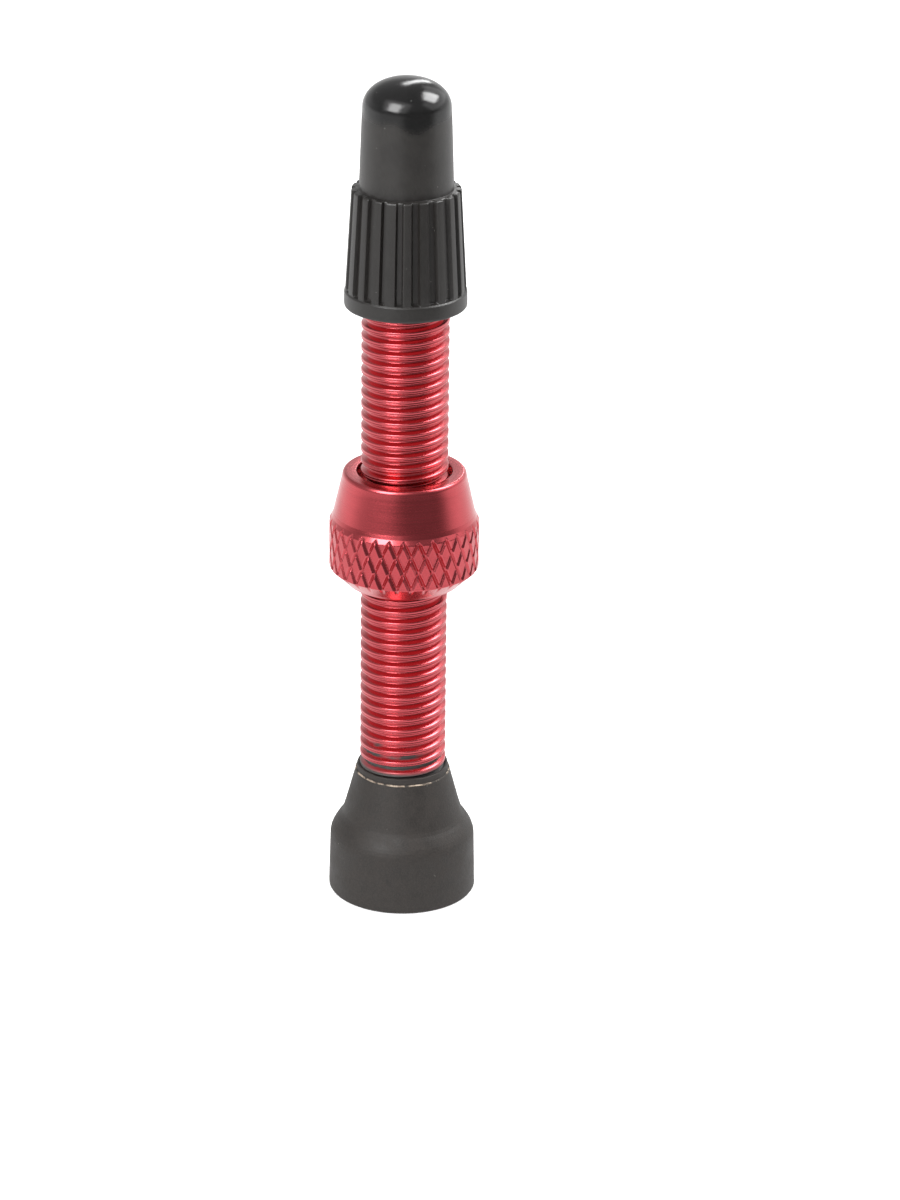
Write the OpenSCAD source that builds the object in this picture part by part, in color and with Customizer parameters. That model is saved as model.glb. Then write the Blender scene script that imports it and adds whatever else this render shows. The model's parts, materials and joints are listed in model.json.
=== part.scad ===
// Tubeless bicycle tyre valve: a threaded stem with a bonded rubber base, a
// knurled lock ring with its O-ring, a removable valve core with plunger and
// thumb nut, and a ribbed dust cap.
// Millimetres, +Z up the stem. Origin: centre of the rubber base's lower face.
// Threads are drawn as rings of the true pitch, depth and crest width.

/* [Stem] */
// Diameter over the crests of the stem's thread
stem_d = 5.92; // [5.86:0.01:6]
// Pitch of the stem's thread
stem_pitch = 0.8; // [0.78:0.005:0.82]
// Depth of the stem's thread
stem_thread_depth = 0.42; // [0.3:0.01:0.44]
// Height of the stem's top edge above the base's lower face
stem_top = 46.5; // [46:0.1:47]
// Diameter of the air passage through the stem
stem_bore_d = 3.5; // [3.2:0.1:3.6]
// Diameter of the foot flange buried in the rubber
foot_d = 7.8; // [7:0.1:8.2]
// Diameter of the air hole in the foot
foot_hole_d = 2.4; // [1.8:0.1:2.8]
// Width of the cross slots in the foot
foot_slot_w = 1; // [0.8:0.1:1.2]

/* [Rubber base] */
// Largest diameter of the base
base_d = 10.18; // [9.9:0.02:10.6]
// Height of the base's near-straight skirt
base_skirt_h = 4; // [3.6:0.1:4.2]
// Radius of the base where the sealing cone starts
base_cone_r = 4.12; // [4.05:0.01:4.2]
// Radius of the base where the sealing cone ends
base_neck_r = 3.28; // [3.2:0.01:3.4]
// Height of the whole base
base_h = 9.35; // [9.2:0.05:9.4]
// Diameter of the opening under the foot
base_hole_d = 5.2; // [4.6:0.1:5.6]

/* [Lock ring] */
// Height of the ring's lower face above the base's lower face
ring_z = 23.1; // [20:0.1:26]
// Height of the ring
ring_h = 7.9; // [7.7:0.05:8.1]
// Diameter over the knurl
knurl_d = 10.18; // [10:0.02:10.4]
// Height of the lower chamfer
ring_chamfer = 1.1; // [0.9:0.05:1.15]
// Height of the knurled band above the chamfer
knurl_h = 3.25; // [3:0.05:3.4]
// Height of the steep bevel that ends the knurl
bevel_h = 0.65; // [0.5:0.05:0.7]
// Radius at the foot of the ring's cone, above the bevel
cone_r0 = 4.8; // [4.76:0.01:4.84]
// Radius at the top of the ring's cone
cone_r1 = 4.22; // [4.16:0.01:4.26]
// Depth of the knurl's grooves
knurl_depth = 0.2; // [0.1:0.01:0.25]
// Number of knurl grooves of each hand
knurl_n = 32; // [30:1:36]
// Angle of the knurl grooves from the axis
knurl_angle = 23; // [18:1:26]
// Diameter of the ring's top face
ring_top_d = 7.96; // [7.8:0.02:8.1]
// Running clearance, on the radius, between threads that turn on each other
thread_gap = 0.05; // [0.03:0.01:0.07]

/* [O-ring] */
// Section diameter of the O-ring
oring_w = 0.7; // [0.6:0.02:0.72]
// How far the O-ring stands out of the ring's lower face
oring_proud = 0.08; // [0.04:0.02:0.12]

/* [Dust cap] */
// Height of the cap's lower edge above the base's lower face
cap_z = 42.8; // [42.75:0.05:43]
// Height of the cap
cap_h = 15.5; // [15.4:0.05:15.8]
// Diameter of the lip at the cap's mouth
lip_d = 8.22; // [8.16:0.02:8.3]
// Height of the lip
lip_h = 1.1; // [0.9:0.05:1.2]
// Height of the cap's ribbed skirt, lip included
skirt_h = 8.05; // [7.9:0.05:8.2]
// Radius over the ribs just above the lip
rib_r0 = 4.04; // [3.98:0.01:4.06]
// Radius over the ribs at their upper ends
rib_r1 = 3.64; // [3.58:0.01:3.7]
// Number of ribs
rib_n = 21; // [16:1:24]
// Depth of the flutes between the ribs
flute_depth = 0.42; // [0.3:0.01:0.44]
// Radius of the smooth upper body at its foot
cap_body_r0 = 3.14; // [3.1:0.01:3.18]
// Radius of the smooth upper body under the dome
cap_body_r1 = 2.95; // [2.9:0.01:2.99]
// Height of the dome
dome_h = 2; // [1.6:0.1:2.3]

/* [Valve core] */
// Diameter of the core's thread in the stem
core_thread_d = 4.2; // [4.1:0.02:4.24]
// Pitch of the core's thread in the stem
core_pitch = 0.5; // [0.5:0.05:0.6]
// Diameter over the crests of the core's cap thread
head_d = 5.2; // [5.1:0.02:5.22]
// Pitch of the cap thread, 24 threads per inch
head_pitch = 1.0583; // [1.05:0.00083:1.06]
// Height of the core's head above the stem
head_h = 4.5; // [4.4:0.05:4.5]
// Distance across the head's two spanner flats
head_flats = 4.4; // [4.2:0.05:4.6]
// Diameter of the core's lower barrel
barrel_d = 3; // [2.8:0.05:3]
// Diameter of the core's air passage
core_bore_d = 2.5; // [2.4:0.02:2.52]

/* [Plunger and nut] */
// Diameter of the plunger's threaded part
pin_d = 2; // [1.96:0.01:2.02]
// Pitch of the plunger's thread
pin_pitch = 0.4; // [0.4:0.01:0.42]
// Diameter of the plunger's plain shank
shank_d = 1.5; // [1.3:0.05:1.6]
// How far the plunger opens
pin_travel = 1.6; // [1.4:0.05:1.6]
// Diameter of the thumb nut
nut_d = 4; // [3.8:0.05:4.1]
// Height of the thumb nut
nut_h = 2.2; // [2:0.05:2.2]
// Number of grooves around the thumb nut
nut_grooves = 16; // [12:1:20]

/* [Hidden] */
$fn = 96;

red = [0.72, 0.2, 0.25];             // stem and lock ring
silver = [0.78, 0.77, 0.73];         // core body and thumb nut

stem_r = stem_d / 2;
foot_r = foot_d / 2;
foot_z = 0.8;                        // lower face of the stem's foot
foot_top = foot_z + 1.4;
foot_edge = 0.2;                     // chamfer on the foot's edges
buried_r = 2.6;                      // stem inside the rubber
grip_r = buried_r + 0.45;            // rib around the stem inside the rubber

seat_z = stem_top - 5.3;             // lower end of the core's conical seat
seat_r0 = stem_bore_d / 2;
core_r = core_thread_d / 2;
seat_r1 = core_r + thread_gap;
head_r = head_d / 2;
head_top = stem_top + head_h;
barrel_r = barrel_d / 2;
barrel_z = seat_z - 3.7;             // core's lower end
core_bore_r = core_bore_d / 2;

pin_r = pin_d / 2;
pin_neck_r = 0.55;                   // plunger inside its seal
seal_z = barrel_z - 1.2;             // lower face of the plunger's seal
nut_z = head_top + 0.05;
nut_top = nut_z + nut_h;

oring_r = stem_r + 0.06 + oring_w / 2;  // to the centre of its section

// Outline of the stem's buried part going up, as [radius, z]
buried_outline = [
    [foot_r - foot_edge, foot_z], [foot_r, foot_z + foot_edge],
    [foot_r, foot_top - foot_edge], [foot_r - foot_edge, foot_top],
    [buried_r, foot_top],
    [buried_r, 4.4], [grip_r, 4.7], [grip_r, 5.3], [buried_r, 5.6],
    [buried_r, base_h - 0.25], [stem_r, base_h - 0.05]];

// ---- helpers --------------------------------------------------------------
// Every revolved outline below is a list of [radius, z] points.

// Points of a ring thread going up from z0, with count grooves
function thread_rings(crest_r, depth, pitch, crest_w, z0, count) =
    let (flank_h = (pitch - crest_w) * 0.46)
    [for (i = [0:count - 1])
        let (low = z0 + i * pitch + crest_w / 2,
             high = z0 + (i + 1) * pitch - crest_w / 2)
        each [[crest_r, low], [crest_r - depth, low + flank_h],
              [crest_r - depth, high - flank_h], [crest_r, high]]];

// Points of an elliptical arc about centre, from one angle to another
function arc(centre, radii, from, to, steps) =
    [for (i = [0:steps]) let (angle = from + (to - from) * i / steps)
        [centre[0] + radii[0] * cos(angle), centre[1] + radii[1] * sin(angle)]];

// Cutter for a groove along a surface: a long wedge, centred on height z, that
// points at the axis. tip_r is the radius of its flat tip, tip_w the tip's
// width, outer_w the width 1 mm further out, tilt its lean towards the axis
// going up, twist its turn about the radius.
module wedge(tip_r, tip_w, outer_w, length, z, tilt = 0, twist = 0)
    translate([tip_r, 0, z]) rotate([twist, 0, 0]) rotate([0, -tilt, 0])
        linear_extrude(length, center = true)
            polygon([[0, -tip_w / 2], [1, -outer_w / 2],
                     [1, outer_w / 2], [0, tip_w / 2]]);

// ---- stem and base --------------------------------------------------------

module valve_stem() {
    thread_z = base_h + 0.15;
    grooves = floor((stem_top - 0.5 - thread_z) / stem_pitch);
    top_edge = 0.3;
    slot_l = 6;
    color(red)
    difference() {
        rotate_extrude() polygon(concat(
            [[foot_hole_d / 2, foot_z]],
            buried_outline,
            thread_rings(stem_r, stem_thread_depth, stem_pitch, 0.24, thread_z, grooves),
            [[stem_r, stem_top - top_edge], [stem_r - top_edge, stem_top],
             // down the bore: core socket, conical seat, passage, air hole
             [seat_r1 + 0.15, stem_top], [seat_r1, stem_top - 0.2],
             [seat_r1, seat_z + 0.8], [seat_r0, seat_z],
             [seat_r0, foot_top + 1], [foot_hole_d / 2, foot_top + 0.5]]));
        // cross slots that keep the air hole open against the tyre
        for (angle = [0, 90]) rotate([0, 0, angle])
            translate([-slot_l / 2, -foot_slot_w / 2, foot_z - 1])
                cube([slot_l, foot_slot_w, 1.6]);
    }
}

module rubber_base() {
    base_r = base_d / 2;
    edge = 0.12;
    draft = 0.095;                   // narrowing over the skirt's height
    shoulder_r = 1.45;               // rounding between skirt and cone
    color([0.24, 0.23, 0.23])
    difference() {
        rotate_extrude() polygon(concat(
            [[0, 0], [base_r - edge, 0], [base_r, edge]],
            arc([base_r - draft - shoulder_r, base_skirt_h],
                [shoulder_r, shoulder_r], 0, 38, 6),
            [[base_cone_r, base_skirt_h + 1.77], [base_neck_r, base_skirt_h + 4.8],
             [base_neck_r - 0.02, base_skirt_h + 4.95], [stem_r + 0.09, base_h],
             [0, base_h]]));
        // room for the stem's foot, rib and shank
        rotate_extrude() polygon(concat(
            [[0, foot_z]],
            buried_outline,
            [[stem_r, base_h + 1], [0, base_h + 1]]));
        // opening under the foot
        translate([0, 0, -1]) cylinder(h = foot_z + 1.5, d = base_hole_d);
    }
}

// ---- lock ring and O-ring -------------------------------------------------

module lock_ring() {
    knurl_r = knurl_d / 2;
    knurl_z = ring_z + ring_chamfer;
    knurl_top = knurl_z + knurl_h;
    ring_top = ring_z + ring_h;
    bore_r = stem_r + thread_gap;
    mouth_r = 3.14;                  // counterbore at the top of the bore
    recess_r = oring_r + oring_w / 2 + 0.05;
    recess_top = ring_z + oring_w - oring_proud + 0.05;
    round_h = 0.4;                   // rounding around the top face
    round_r = ring_top_d / 2 - 0.1;  // radius where the rounding meets that face
    grooved_h = knurl_h + bevel_h;
    color(red)
    difference() {
        rotate_extrude() polygon(concat(
            [[recess_r, ring_z], [knurl_r - ring_chamfer, ring_z],
             [knurl_r, knurl_z], [knurl_r, knurl_top],
             [cone_r0, knurl_top + bevel_h], [cone_r1, ring_top - round_h]],
            arc([round_r, ring_top - round_h], [cone_r1 - round_r, round_h], 15, 90, 5),
            [[mouth_r + 0.1, ring_top], [mouth_r + 0.04, ring_top - 0.1],
             [mouth_r, ring_top - 0.75], [bore_r, ring_top - 0.95],
             [bore_r, recess_top + 0.15], [bore_r + 0.15, recess_top],
             [recess_r, recess_top]]));
        // crossed knurl grooves, one set of each hand
        for (hand = [-1, 1], i = [0:knurl_n - 1])
            rotate([0, 0, i * 360 / knurl_n])
                wedge(knurl_r - knurl_depth, 0.02, 1.4, grooved_h + 0.3,
                      knurl_z + grooved_h / 2 - 0.05, twist = hand * knurl_angle);
    }
}

module rim_o_ring()
    color([0.12, 0.12, 0.12])
    translate([0, 0, ring_z - oring_proud + oring_w / 2])
        rotate_extrude() translate([oring_r, 0]) circle(d = oring_w, $fn = 48);

// ---- valve core -----------------------------------------------------------

module core_body() {
    thread_z = seat_z + 1.2;         // lower end of the thread in the stem
    end_gap = 0.3;
    core_grooves = floor((stem_top - end_gap - thread_z - end_gap) / core_pitch);
    head_grooves = floor((head_h - 0.6) / head_pitch);
    collar_r = barrel_r + 0.15;      // collar just under the gasket
    relief_r = core_r - 0.1;         // neck between the two threads
    head_z = stem_top + 0.02;
    guide_r = pin_r + 0.06;          // hole that guides the plunger
    color(silver)
    intersection() {
        rotate_extrude() polygon(concat(
            [[core_bore_r + 0.15, barrel_z], [barrel_r - 0.05, barrel_z],
             [barrel_r, barrel_z + 0.1], [barrel_r, seat_z - 0.6],
             [collar_r, seat_z - 0.5], [collar_r, seat_z - 0.15],
             [barrel_r, seat_z - 0.05], [barrel_r, thread_z],
             [core_r - 0.25, thread_z], [core_r, thread_z + 0.25]],
            thread_rings(core_r, 0.22, core_pitch, 0.14, thread_z + 0.35, core_grooves),
            [[core_r, stem_top - 0.25], [relief_r, stem_top - 0.1],
             [relief_r, head_z], [head_r - 0.2, head_z], [head_r, head_z + 0.2]],
            thread_rings(head_r, 0.42, head_pitch, 0.3, stem_top + 0.35, head_grooves),
            [[head_r, head_top - 0.15], [head_r - 0.2, head_top],
             [guide_r, head_top], [guide_r, head_top - 1.4],
             [core_bore_r, head_top - 1.6], [core_bore_r, barrel_z + 0.4]]));
        // spanner flats on the head only
        union() {
            cylinder(h = stem_top, r = 3);
            translate([-4, -head_flats / 2, stem_top - 1])
                cube([8, head_flats, head_h + 2]);
        }
    }
}

module core_gasket() {
    bore_r = barrel_r + 0.05;
    gasket_r = seat_r1 - 0.04;
    gasket_top = seat_z + 1.15;
    color([0.85, 0.85, 0.82])
    rotate_extrude() polygon(
        [[bore_r, seat_z], [seat_r0 - 0.03, seat_z], [gasket_r, seat_z + 0.76],
         [gasket_r, gasket_top], [bore_r, gasket_top]]);
}

// ---- plunger and nut ------------------------------------------------------

module core_pin() {
    button_r = 0.95;                 // disc under the seal
    button_z = seal_z - 0.45;
    thread_z = head_top - 2;
    tip_z = nut_top + pin_travel + 0.05; // underside of the peened tip
    tip_r = pin_r + 0.06;
    grooves = floor((tip_z - 0.2 - thread_z) / pin_pitch);
    flat_x = pin_r - 0.3;            // distance of each flat from the axis
    color([0.8, 0.72, 0.45])
    difference() {
        rotate_extrude() polygon(concat(
            [[0, button_z], [button_r - 0.15, button_z], [button_r, button_z + 0.15],
             [button_r, seal_z], [pin_neck_r, seal_z], [pin_neck_r, barrel_z + 0.2],
             [shank_d / 2, barrel_z + 0.35], [shank_d / 2, head_top - 2.3],
             [pin_r, head_top - 2.05]],
            thread_rings(pin_r, 0.18, pin_pitch, 0.12, thread_z, grooves),
            [[pin_r, tip_z], [tip_r, tip_z + 0.02], [tip_r, tip_z + 0.18],
             [pin_r - 0.2, tip_z + 0.4], [0, tip_z + 0.48]]));
        // flats that let the air past the plunger's guide
        for (side = [-1, 1])
            translate([side * (flat_x + 1) - 1, -2, head_top - 2.3])
                cube([2, 4, 4.3]);
    }
}

module pin_seal() {
    seal_r = 1.45;
    edge = 0.15;
    seal_top = barrel_z + 0.18;      // reaches into the core's bore
    color([0.15, 0.15, 0.15])
    rotate_extrude() polygon(
        [[pin_neck_r, seal_z], [seal_r - edge, seal_z], [seal_r, seal_z + edge],
         [seal_r, barrel_z - 0.1], [core_bore_r - 0.13, seal_top],
         [pin_neck_r, seal_top]]);
}

module thumb_nut() {
    nut_r = nut_d / 2;
    bore_r = pin_r + thread_gap;
    bore_edge = 0.12;
    top_edge = 0.3;
    color(silver)
    difference() {
        rotate_extrude() polygon(
            [[bore_r + bore_edge, nut_z], [nut_r - 0.55, nut_z],
             [nut_r - 0.4, nut_z + 0.35], [nut_r, nut_z + 0.55],
             [nut_r, nut_top - top_edge], [nut_r - top_edge, nut_top],
             [bore_r + bore_edge, nut_top], [bore_r, nut_top - bore_edge],
             [bore_r, nut_z + bore_edge]]);
        for (i = [0:nut_grooves - 1])
            rotate([0, 0, (i + 0.5) * 360 / nut_grooves])
                wedge(nut_r - 0.18, 0.04, 1.6, 3, nut_z + 1.5);
    }
}

// ---- dust cap -------------------------------------------------------------

module dust_cap() {
    lip_r = lip_d / 2;
    lip_edge = 0.08;
    lip_top = cap_z + lip_h;
    rib_top = cap_z + skirt_h;
    rib_h = skirt_h - lip_h;
    rib_edge = 0.04;
    rib_spacing = 2 * PI * rib_r0 / rib_n;
    cap_top = cap_z + cap_h;
    mouth_r = stem_r + 0.1;          // inside, around the stem
    socket_r = head_r + 0.06;        // inside, around the core's head
    hollow_r = 2.3;                  // inside, above the core's head
    color([0.27, 0.265, 0.26])
    difference() {
        rotate_extrude() polygon(concat(
            [[mouth_r, cap_z], [lip_r - lip_edge, cap_z],
             [lip_r, cap_z + lip_edge], [lip_r, lip_top - lip_edge],
             [lip_r - 0.05, lip_top], [rib_r0, lip_top],
             [rib_r1, rib_top - rib_edge], [rib_r1 - rib_edge, rib_top],
             [cap_body_r0, rib_top]],
            arc([0, cap_top - dome_h], [cap_body_r1, dome_h], 0, 86, 12),
            [[0, cap_top],
             // down the inside
             [0, cap_top - 1.1], [1.6, cap_top - 1.2], [hollow_r, cap_top - 1.9],
             [hollow_r, head_top + 0.6], [socket_r, head_top + 0.3],
             [socket_r, stem_top + 0.65], [mouth_r, stem_top + 0.35]]));
        // flutes between the ribs: flat floor, sides opening outwards
        for (i = [0:rib_n - 1])
            rotate([0, 0, (i + 0.5) * 360 / rib_n])
                wedge((rib_r0 + rib_r1) / 2 - flute_depth,
                      rib_spacing * 0.3, rib_spacing * 1.05,
                      rib_h + 0.3, (lip_top + rib_top) / 2 + 0.2,
                      tilt = atan((rib_r0 - rib_r1) / rib_h));
    }
}

valve_stem();
rubber_base();
lock_ring();
rim_o_ring();
core_body();
core_gasket();
core_pin();
pin_seal();
thumb_nut();
dust_cap();
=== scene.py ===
import json
import math

import bpy
import numpy as np
from mathutils import Matrix, Vector


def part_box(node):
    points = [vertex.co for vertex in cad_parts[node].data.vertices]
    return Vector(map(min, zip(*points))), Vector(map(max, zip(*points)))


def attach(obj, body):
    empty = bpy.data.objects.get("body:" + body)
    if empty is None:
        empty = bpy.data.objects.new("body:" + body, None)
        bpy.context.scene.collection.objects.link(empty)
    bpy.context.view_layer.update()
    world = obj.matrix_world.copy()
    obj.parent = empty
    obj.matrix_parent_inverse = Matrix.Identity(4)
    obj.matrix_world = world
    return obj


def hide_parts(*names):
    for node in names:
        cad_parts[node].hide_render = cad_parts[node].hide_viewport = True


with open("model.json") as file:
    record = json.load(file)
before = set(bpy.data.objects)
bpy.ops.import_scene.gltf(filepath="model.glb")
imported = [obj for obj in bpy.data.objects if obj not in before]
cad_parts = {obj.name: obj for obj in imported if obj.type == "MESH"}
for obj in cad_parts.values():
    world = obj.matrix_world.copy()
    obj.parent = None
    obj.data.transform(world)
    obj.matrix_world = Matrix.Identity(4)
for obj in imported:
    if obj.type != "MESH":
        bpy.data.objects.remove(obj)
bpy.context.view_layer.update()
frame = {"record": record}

# Lengths below are millimetres; meshes are scaled to metres when they are made.
MM = 0.001
TAU = 2 * math.pi
RNG = np.random.default_rng(7)


def span(node):
    """A CAD node's lowest and highest corner, in millimetres."""
    lo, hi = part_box(node)
    return np.array(lo) / MM, np.array(hi) / MM


STEM, RUBBER, RING, CAP = (span(n) for n in ("valve_stem", "rubber_base", "lock_ring", "dust_cap"))
CORE, PIN, NUT, ORING = (span(n) for n in ("core_body", "core_pin", "thumb_nut", "rim_o_ring"))
GASKET, SEAL = span("core_gasket"), span("pin_seal")
PITCH = {c["joint"]: TAU / abs(c["ratio"]) / MM for c in frame["record"]["behaviour"]["couplings"]}
P_STEM = PITCH["lock_ring_turn"]         # pitch of the stem's thread
P_CORE = PITCH["core_turn"]              # pitch of the core's thread in the stem
P_PIN = PITCH["thumb_nut_turn"]          # pitch of the plunger's thread


# ---- mesh tools -----------------------------------------------------------

def turn(n):
    k = np.arange(n + 1) % n
    return TAU * np.arange(n + 1) / n, np.cos(TAU * k / n), np.sin(TAU * k / n)


def polar(n, R, Z):
    """Points of a sheet from radii and heights, (rows, n + 1); the last column repeats the first."""
    t, c, s = turn(n)
    R = np.broadcast_to(R, (len(R), n + 1)).astype(float)
    Z = np.broadcast_to(Z, (len(Z), n + 1)).astype(float)
    return np.stack([R * c, R * s, Z], -1)


def column(values):
    return np.array(values, float)[:, None]


def rounded(points, r=0.05, steps=3):
    """A profile with its corners rounded. Each point is (r, z) or (r, z, rounding)."""
    pts = [np.array(p[:2], float) for p in points]
    rad = [p[2] if len(p) > 2 else r for p in points]
    out = [pts[0]]
    for i in range(1, len(pts) - 1):
        a, b, c = pts[i - 1], pts[i], pts[i + 1]
        u, v = a - b, c - b
        lu, lv = np.linalg.norm(u), np.linalg.norm(v)
        if rad[i] <= 0 or lu < 1e-6 or lv < 1e-6:
            out.append(b)
            continue
        u, v = u / lu, v / lv
        half = math.acos(max(-1, min(1, float(u @ v)))) / 2
        if half > math.pi / 2 - 0.03:
            out.append(b)
            continue
        d = min(rad[i] / math.tan(half), lu * 0.45, lv * 0.45)
        for k in range(steps + 1):
            t = k / steps
            out.append((1 - t) ** 2 * (b + u * d) + 2 * t * (1 - t) * b + t ** 2 * (b + v * d))
    out.append(pts[-1])
    return np.array(out)


def refine(profile, step):
    """More points along a profile, so that no piece is longer than step."""
    out = [profile[0]]
    for a, b in zip(profile[:-1], profile[1:]):
        k = max(1, int(math.ceil(np.linalg.norm(b - a) / step)))
        out += [a + (b - a) * i / k for i in range(1, k + 1)]
    return np.array(out)


def mark_edges(mesh):
    """Stores at every vertex how convex (above 0.5) or hollow (below) the surface is there."""
    nv, ne = len(mesh.vertices), len(mesh.edges)
    co, no, ed = np.empty(nv * 3), np.empty(nv * 3), np.empty(ne * 2, int)
    mesh.vertices.foreach_get("co", co)
    mesh.vertices.foreach_get("normal", no)
    mesh.edges.foreach_get("vertices", ed)
    co, no, ed = co.reshape(-1, 3), no.reshape(-1, 3), ed.reshape(-1, 2)
    d = co[ed[:, 0]] - co[ed[:, 1]]
    d /= np.maximum(np.linalg.norm(d, axis=1), 1e-12)[:, None]
    acc = np.bincount(ed[:, 0], (no[ed[:, 0]] * d).sum(1), nv) - np.bincount(ed[:, 1], (no[ed[:, 1]] * d).sum(1), nv)
    count = np.bincount(ed.ravel(), minlength=nv)
    if "edge" in mesh.attributes:
        mesh.attributes.remove(mesh.attributes["edge"])
    layer = mesh.attributes.new("edge", "FLOAT", "POINT")
    layer.data.foreach_set("value", 0.5 + acc / np.maximum(count, 1) / math.pi)


class Shell:
    """Collects sheets of quads and welds them into one mesh by position."""

    def __init__(self):
        self.v, self.f, self.m, self.n = [], [], [], 0

    def sheet(self, P, mat=0):
        rows, cols = P.shape[:2]
        i = np.arange(rows - 1)[:, None]
        j = np.arange(cols - 1)[None, :]
        a = self.n + i * cols + j
        F = np.stack([a, a + 1, a + cols + 1, a + cols], -1).reshape(-1, 4)
        self.v.append(P.reshape(-1, 3))
        self.f.append(F)
        self.m.append(np.full(len(F), mat))
        self.n += rows * cols
        return self

    def stitch(self, A, B, mat=0):
        """Joins two closed rings of points with different counts, (points + 1, 3), by a band of triangles."""
        na, nb = len(A) - 1, len(B) - 1
        base_a, base_b = self.n, self.n + na + 1
        F, i, j = [], 0, 0
        while i < na or j < nb:
            if j >= nb or (i < na and (i + 1) / na <= (j + 1) / nb):
                F.append((base_a + i, base_a + i + 1, base_b + j, base_b + j))
                i += 1
            else:
                F.append((base_a + i, base_b + j + 1, base_b + j, base_b + j))
                j += 1
        self.v += [np.asarray(A, float), np.asarray(B, float)]
        self.f.append(np.array(F))
        self.m.append(np.full(len(F), mat))
        self.n += na + nb + 2
        return self

    def lathe(self, n, profile, mat=0):
        p = np.array(profile, float)
        return self.sheet(polar(n, p[:, :1], p[:, 1:2]), mat)

    def build(self, name, materials, sharp=35, body=None, replaces=None):
        V, F, M = np.concatenate(self.v), np.concatenate(self.f), np.concatenate(self.m)
        key = np.round(V * 1e5).astype(np.int64)
        _, first, inverse = np.unique(key, axis=0, return_index=True, return_inverse=True)
        inverse = inverse.reshape(-1)
        order = np.argsort(first)
        rank = np.empty_like(order)
        rank[order] = np.arange(len(order))
        V, F = V[first[order]], rank[inverse][F]
        faces, mats, seen = [], [], set()
        dup = (F[:, 0] == F[:, 1]) | (F[:, 1] == F[:, 2]) | (F[:, 2] == F[:, 3]) | (F[:, 3] == F[:, 0]) \
            | (F[:, 0] == F[:, 2]) | (F[:, 1] == F[:, 3])
        for q, m, d in zip(F.tolist(), M.tolist(), dup.tolist()):
            if d:
                q = [x for i, x in enumerate(q) if x != q[i - 1]]
                if len(q) < 3 or len(set(q)) < len(q):
                    continue
            faces.append(q)
            mats.append(m)
        mesh = bpy.data.meshes.new(name)
        mesh.from_pydata((V * MM).tolist(), [], faces)
        for m in materials:
            mesh.materials.append(m)
        mesh.polygons.foreach_set("material_index", mats)
        mesh.polygons.foreach_set("use_smooth", [True] * len(mesh.polygons))
        mesh.update()
        mesh.set_sharp_from_angle(angle=math.radians(sharp))
        mark_edges(mesh)
        o = bpy.data.objects.new(name, mesh)
        bpy.context.scene.collection.objects.link(o)
        if body:
            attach(o, body)
        if replaces:
            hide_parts(replaces)
        return o


def thread_rows(shape, pitch, z0, z1, crest):
    """Heights at angle 0 of a helical sheet's rows: every point of the thread's shape, over and past z0..z1."""
    at = np.array([s[0] for s in shape if s[0] < 1 - 1e-9])
    lo, hi = math.floor((z0 - pitch - crest) / pitch) - 1, math.ceil((z1 - crest) / pitch) + 1
    return np.concatenate([crest + pitch * (m + at) for m in range(lo, hi + 1)])


def helix(n, shape, pitch, z0, z1, crest, limit, inside=False):
    """A right-handed thread from z0 to z1. shape: (share of the pitch, radius); crest: a crest's height at
    angle 0; limit(theta, z, r) gives the radius with ends and flats taken into account."""
    t, _, _ = turn(n)
    rows = thread_rows(shape, pitch, z0, z1, crest)
    Z = np.clip(rows[:, None] + pitch * t[None, :] / TAU, z0, z1)
    phase = ((Z - crest - pitch * t[None, :] / TAU) / pitch) % 1.0
    xs, ys = zip(*shape)
    R = np.interp(phase, xs, ys)
    R = limit(t[None, :] + 0 * Z, Z, R)
    P = polar(n, R, Z)
    return P[::-1] if inside else P


def vee(major, minor, crest, root, pitch, soft=0.03):
    """One pitch of a V thread with a flat crest and a flat root, edges a little rounded, as (share, radius)."""
    flank = (pitch - crest - root) / 2
    pts = rounded([(-0.2 * pitch, major), (crest / 2, major, soft), (crest / 2 + flank, minor, soft * 1.4),
                   (crest / 2 + flank + root, minor, soft * 1.4), (pitch - crest / 2, major, soft),
                   (pitch * 1.2, major)], steps=3)
    keep = [(0.0, major)] + [(x / pitch, y) for x, y in pts[1:-1]] + [(1.0, major)]
    return keep


# ---- materials ------------------------------------------------------------

def material(name):
    m = bpy.data.materials.new(name)
    m.use_nodes = True
    nt = m.node_tree
    nt.nodes.clear()
    out = nt.nodes.new("ShaderNodeOutputMaterial")
    bsdf = nt.nodes.new("ShaderNodeBsdfPrincipled")
    nt.links.new(bsdf.outputs[0], out.inputs[0])
    return m, nt, bsdf


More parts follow.
